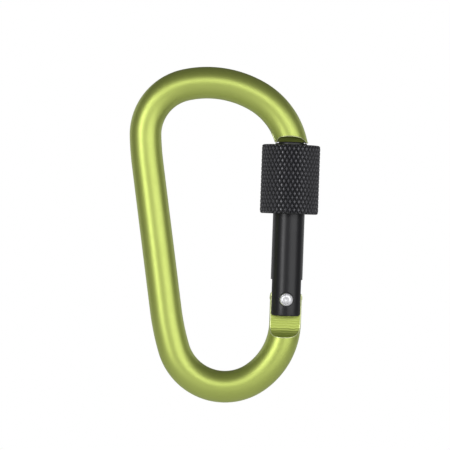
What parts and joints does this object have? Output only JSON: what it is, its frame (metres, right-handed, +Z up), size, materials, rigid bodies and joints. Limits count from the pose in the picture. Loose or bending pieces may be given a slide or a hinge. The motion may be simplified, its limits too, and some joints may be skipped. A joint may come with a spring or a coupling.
{
  "type": "screw-lock carabiner",
  "caption": "D-shaped bent bar carabiner for keys, with a sprung gate that swings inwards on a rivet and a knurled screw sleeve that locks it.",
  "frame": {"origin": "the inside of the crown at its highest point, where the bar hangs on a loop, strap or hook", "axes": "+Z up along the closed gate, from hinge to nose; +X from the spine to the gate; the front face looks along -Y"},
  "size_m": [0.0459, 0.014, 0.0804],
  "materials": {
    "green_anodised": "satin lime green anodising",
    "black_anodised": "satin black anodising",
    "rivet_steel": "bright, peened",
    "black_knurled": "black anodising over diamond knurling",
    "spring_steel": "drawn wire",
    "plunger_steel": "turned"
  },
  "bodies": {
    "frame": {"frame_bar": "green_anodised"},
    "gate": {"gate_tube": "black_anodised", "hinge_rivet": "rivet_steel", "gate_spring": "spring_steel"},
    "sleeve": {"locking_sleeve": "black_knurled"},
    "plunger": {"spring_plunger": "plunger_steel"}
  },
  "joints": [
    {"name": "gate_swing", "type": "hinge", "parent": "frame", "child": "gate", "pos_m": [0.01989, 0, -0.04746], "axis": [0, -1, 0], "range_deg": [0, 28], "stiffness_Nm_per_rad": 0.2, "springref_deg": -28.65},
    {"name": "sleeve_travel", "type": "slide", "parent": "gate", "child": "sleeve", "axis": [0, 0, 1], "range_m": [-0.009, 0.0018]},
    {"name": "plunger_push", "type": "slide", "parent": "gate", "child": "plunger", "axis": [0, 0, 1], "range_m": [0, 0.0006], "deforming": ["gate_spring"]}
  ],
  "couplings": [
    {"joint": "plunger_push", "follows": "gate_swing", "m_per_rad": 0.0012}
  ]
}
